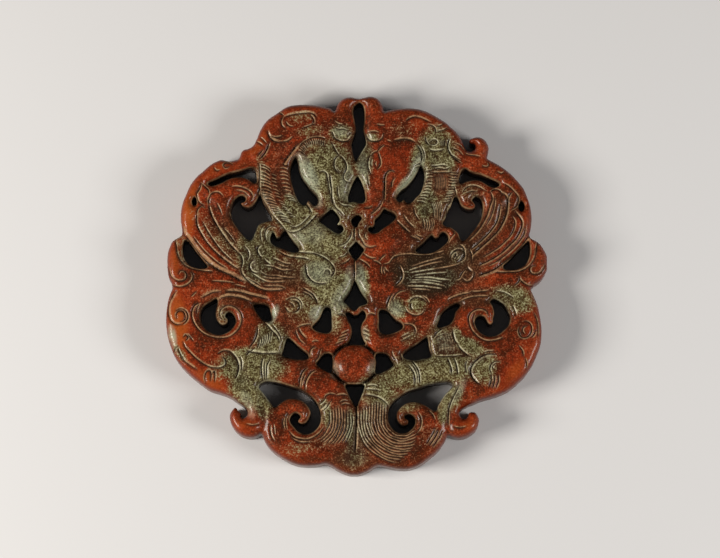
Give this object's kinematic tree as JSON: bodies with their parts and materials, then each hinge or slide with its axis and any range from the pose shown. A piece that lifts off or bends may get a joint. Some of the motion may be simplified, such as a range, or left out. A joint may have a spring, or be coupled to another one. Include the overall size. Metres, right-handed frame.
{
  "type": "jade carving",
  "caption": "Flat openwork stone disc carved as confronted crested birds with curled wings and tails around a round bead, slotted at the top for a cord.",
  "frame": {"origin": "centre of the bounding box at the flat back, on the surface it lies on", "axes": "+Z out of the carved face, +Y towards the cord slot, +X to the right as the face is seen"},
  "size_m": [0.0597, 0.0596, 0.0068],
  "materials": {
    "jade": "polished"
  },
  "bodies": {
    "root": {"openwork_disc": "jade"}
  },
  "joints": []
}
